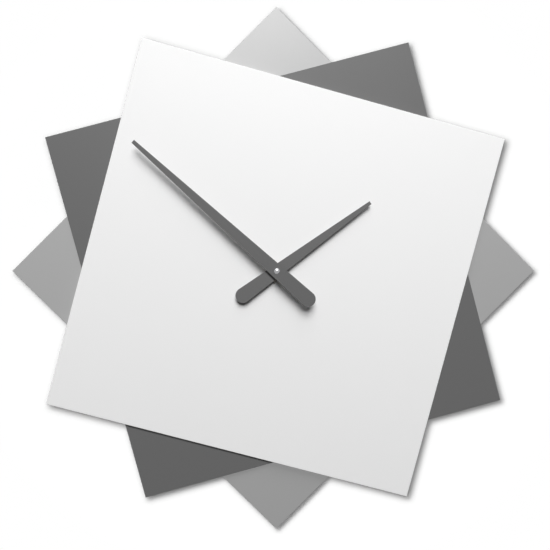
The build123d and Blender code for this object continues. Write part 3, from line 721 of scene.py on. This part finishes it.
# Softened edges of the pieces that keep their CAD shape
soften("movement_case", case_edge)
soften("setting_knob", knob_edge)
soften("hanger_bracket", sheet_edge)
soften("brass_washer", sheet_edge)
soften("fixing_nut", nut_edge)


# Wall, camera, lights and world

def wall_paint(wash_place):
    """White paint that takes a soft shadow lightened by a painted glow, fades to plain white and can't be
    seen from behind.
    """
    material = bpy.data.materials.new("wall_paint")
    material.use_nodes = True
    tree = material.node_tree
    tree.nodes.clear()
    spot = tree.nodes.new("ShaderNodeTexCoord").outputs["Object"]

    # The paint is darker under the lamps by as much as they are nearer there
    lamp_height = wall_gap - wash_place.y
    foot = vector_maths(tree, "SUBTRACT", spot, (wash_place.x, wash_place.z, 0.0)).outputs["Vector"]
    slant = vector_maths(tree, "DOT_PRODUCT", foot, foot).outputs["Value"]
    spread = maths(tree, "ADD", maths(tree, "DIVIDE", slant, lamp_height ** 2), 1.0)
    far_spread = 1.0 + (wall_fade[1] / lamp_height) ** 2
    grey = maths(tree, "MULTIPLY", maths(tree, "POWER", spread, 2.0), wall_tone / far_spread ** 2)
    paint = tree.nodes.new("ShaderNodeBsdfDiffuse")
    link(tree, grey, paint.inputs["Color"])

    # Near the clock a share of glowing white lightens the shadow as painted light; further out plain white
    # takes over
    fade = place(tree, "ShaderNodeMapRange", interpolation_type="SMOOTHSTEP", From_Min=wall_fade[0],
                 From_Max=wall_fade[1], To_Min=wall_glow)
    link(tree, vector_maths(tree, "LENGTH", spot).outputs["Value"], fade.inputs["Value"])
    glow = tree.nodes.new("ShaderNodeEmission")
    lit = mix_shaders(tree, fade.outputs["Result"], paint.outputs[0], glow.outputs[0])

    clear = tree.nodes.new("ShaderNodeBsdfTransparent")
    behind = tree.nodes.new("ShaderNodeNewGeometry").outputs["Backfacing"]
    output = tree.nodes.new("ShaderNodeOutputMaterial")
    link(tree, mix_shaders(tree, behind, lit, clear.outputs[0]), output.inputs["Surface"])
    return material


def make_wall(wash_place):
    """Wall behind the clock, which shows to the camera alone and throws no light or shadow on the clock."""
    bpy.ops.mesh.primitive_plane_add(size=wall_size, location=(0, wall_gap, 0), rotation=(math.pi / 2, 0, 0))
    wall = bpy.context.object
    wall.name = "wall"
    wall.visible_diffuse = False
    wall.visible_glossy = False
    wall.visible_shadow = False
    wall.data.materials.append(wall_paint(wash_place))
    return wall


def look_at(thing, aim):
    """Turn a camera or a lamp towards a point."""
    thing.rotation_euler = (aim - thing.location).to_track_quat("-Z", "Y").to_euler()


def make_camera():
    """Camera at the photograph's viewing angle."""
    azimuth, elevation = math.radians(camera_azimuth), math.radians(camera_elevation)
    back = Vector((math.sin(azimuth) * math.cos(elevation), -math.cos(azimuth) * math.cos(elevation),
                   math.sin(elevation)))
    aim = Vector((aim_x, dial_y, aim_z))
    camera = bpy.data.objects.new("camera", bpy.data.cameras.new("camera"))
    bpy.context.scene.collection.objects.link(camera)
    camera.location = aim + back * camera_distance
    look_at(camera, aim)
    camera.data.lens = camera.data.sensor_width * focal_pixels / image_width
    camera.data.clip_start = near_clip
    bpy.context.scene.camera = camera
    return camera


def link_state(name, things, state):
    """Collection that includes or excludes things, for a lamp's light or shadow."""
    group = bpy.data.collections.new(name)
    for thing in things:
        group.objects.link(thing)
    for entry in group.collection_objects:
        entry.light_linking.link_state = state
    return group


def make_lamp(name, location, aim, size, power):
    """Square soft lamp."""
    data = bpy.data.lights.new(name, "AREA")
    data.shape = "SQUARE"
    data.size = size
    data.energy = power
    lamp = bpy.data.objects.new(name, data)
    bpy.context.scene.collection.objects.link(lamp)
    lamp.location = location
    look_at(lamp, aim)
    return lamp


def make_key(name, values, receivers=(), not_receivers=(), not_blockers=()):
    """Lamp in front of the dial that lights some pieces only, or all but some, and passes through some."""
    lean, side, distance, size, power = values
    lean, side = math.radians(lean), math.radians(side)
    way = Vector((-math.sin(side), -math.cos(side) * math.cos(lean), math.cos(side) * math.sin(lean)))
    lamp = make_lamp(name, dial_centre + distance * way, dial_centre, size, power)
    if receivers:
        lamp.light_linking.receiver_collection = link_state(name + "_on", receivers, "INCLUDE")
    if not_receivers:
        lamp.light_linking.receiver_collection = link_state(name + "_off", not_receivers, "EXCLUDE")
    if not_blockers:
        lamp.light_linking.blocker_collection = link_state(name + "_through", not_blockers, "EXCLUDE")


def make_lights(camera):
    """A wash on the wall, lamps for each layer of the front, and lamps for the back and the edges."""
    wash_place = camera.location + Vector(wash_offset)
    wall = make_wall(wash_place)
    wall_only = link_state("wall_wash_on", [wall], "INCLUDE")
    for size, power in wash_lamps:
        wash = make_lamp("wall_wash", wash_place, wash_place + Vector((0, 1, 0)), size, power)
        wash.light_linking.receiver_collection = wall_only
    front, middle, rear = nodes["front_panel"], nodes["middle_panel"], nodes["rear_panel"]
    make_key("dial_key", dial_key, not_receivers=(wall, middle, rear, hour_blade), not_blockers=(cap,))
    make_key("dial_rake", dial_rake, receivers=(front,))
    make_key("dial_fill", dial_fill, receivers=(front,), not_blockers=(minute_blade,))
    make_key("hour_hand_key", hour_hand_key, receivers=(hour_blade,))
    make_key("cap_key", cap_key, receivers=(cap,))
    make_key("middle_key", middle_key, receivers=(middle,))
    make_key("rear_key", rear_key, receivers=(rear,), not_blockers=(front, middle))
    make_key("rear_shade_key", rear_shade_key, receivers=(rear,))
    not_wall = link_state("back_lamps_off", [wall], "EXCLUDE")
    for spot, power in back_lamps:
        lamp = make_lamp("back_lamp", Vector(spot), Vector((0, 0, 0)), back_lamp_size, power)
        lamp.light_linking.receiver_collection = not_wall


def make_world():
    """White to the camera and in reflections, and a weak even light on the clock."""
    world = bpy.data.worlds.new("studio")
    world.use_nodes = True
    tree = world.node_tree
    rays = tree.nodes.new("ShaderNodeLightPath")
    seen = maths(tree, "MAXIMUM", rays.outputs["Is Camera Ray"], rays.outputs["Is Glossy Ray"])
    seen = maths(tree, "MAXIMUM", seen, rays.outputs["Is Transmission Ray"])
    background = tree.nodes["Background"]
    background.inputs["Color"].default_value = (1.0, 1.0, 1.0, 1.0)
    link(tree, maths(tree, "MAXIMUM", seen, ambient), background.inputs["Strength"])
    bpy.context.scene.world = world


make_lights(make_camera())
make_world()
bpy.context.scene.view_settings.view_transform = "Standard"
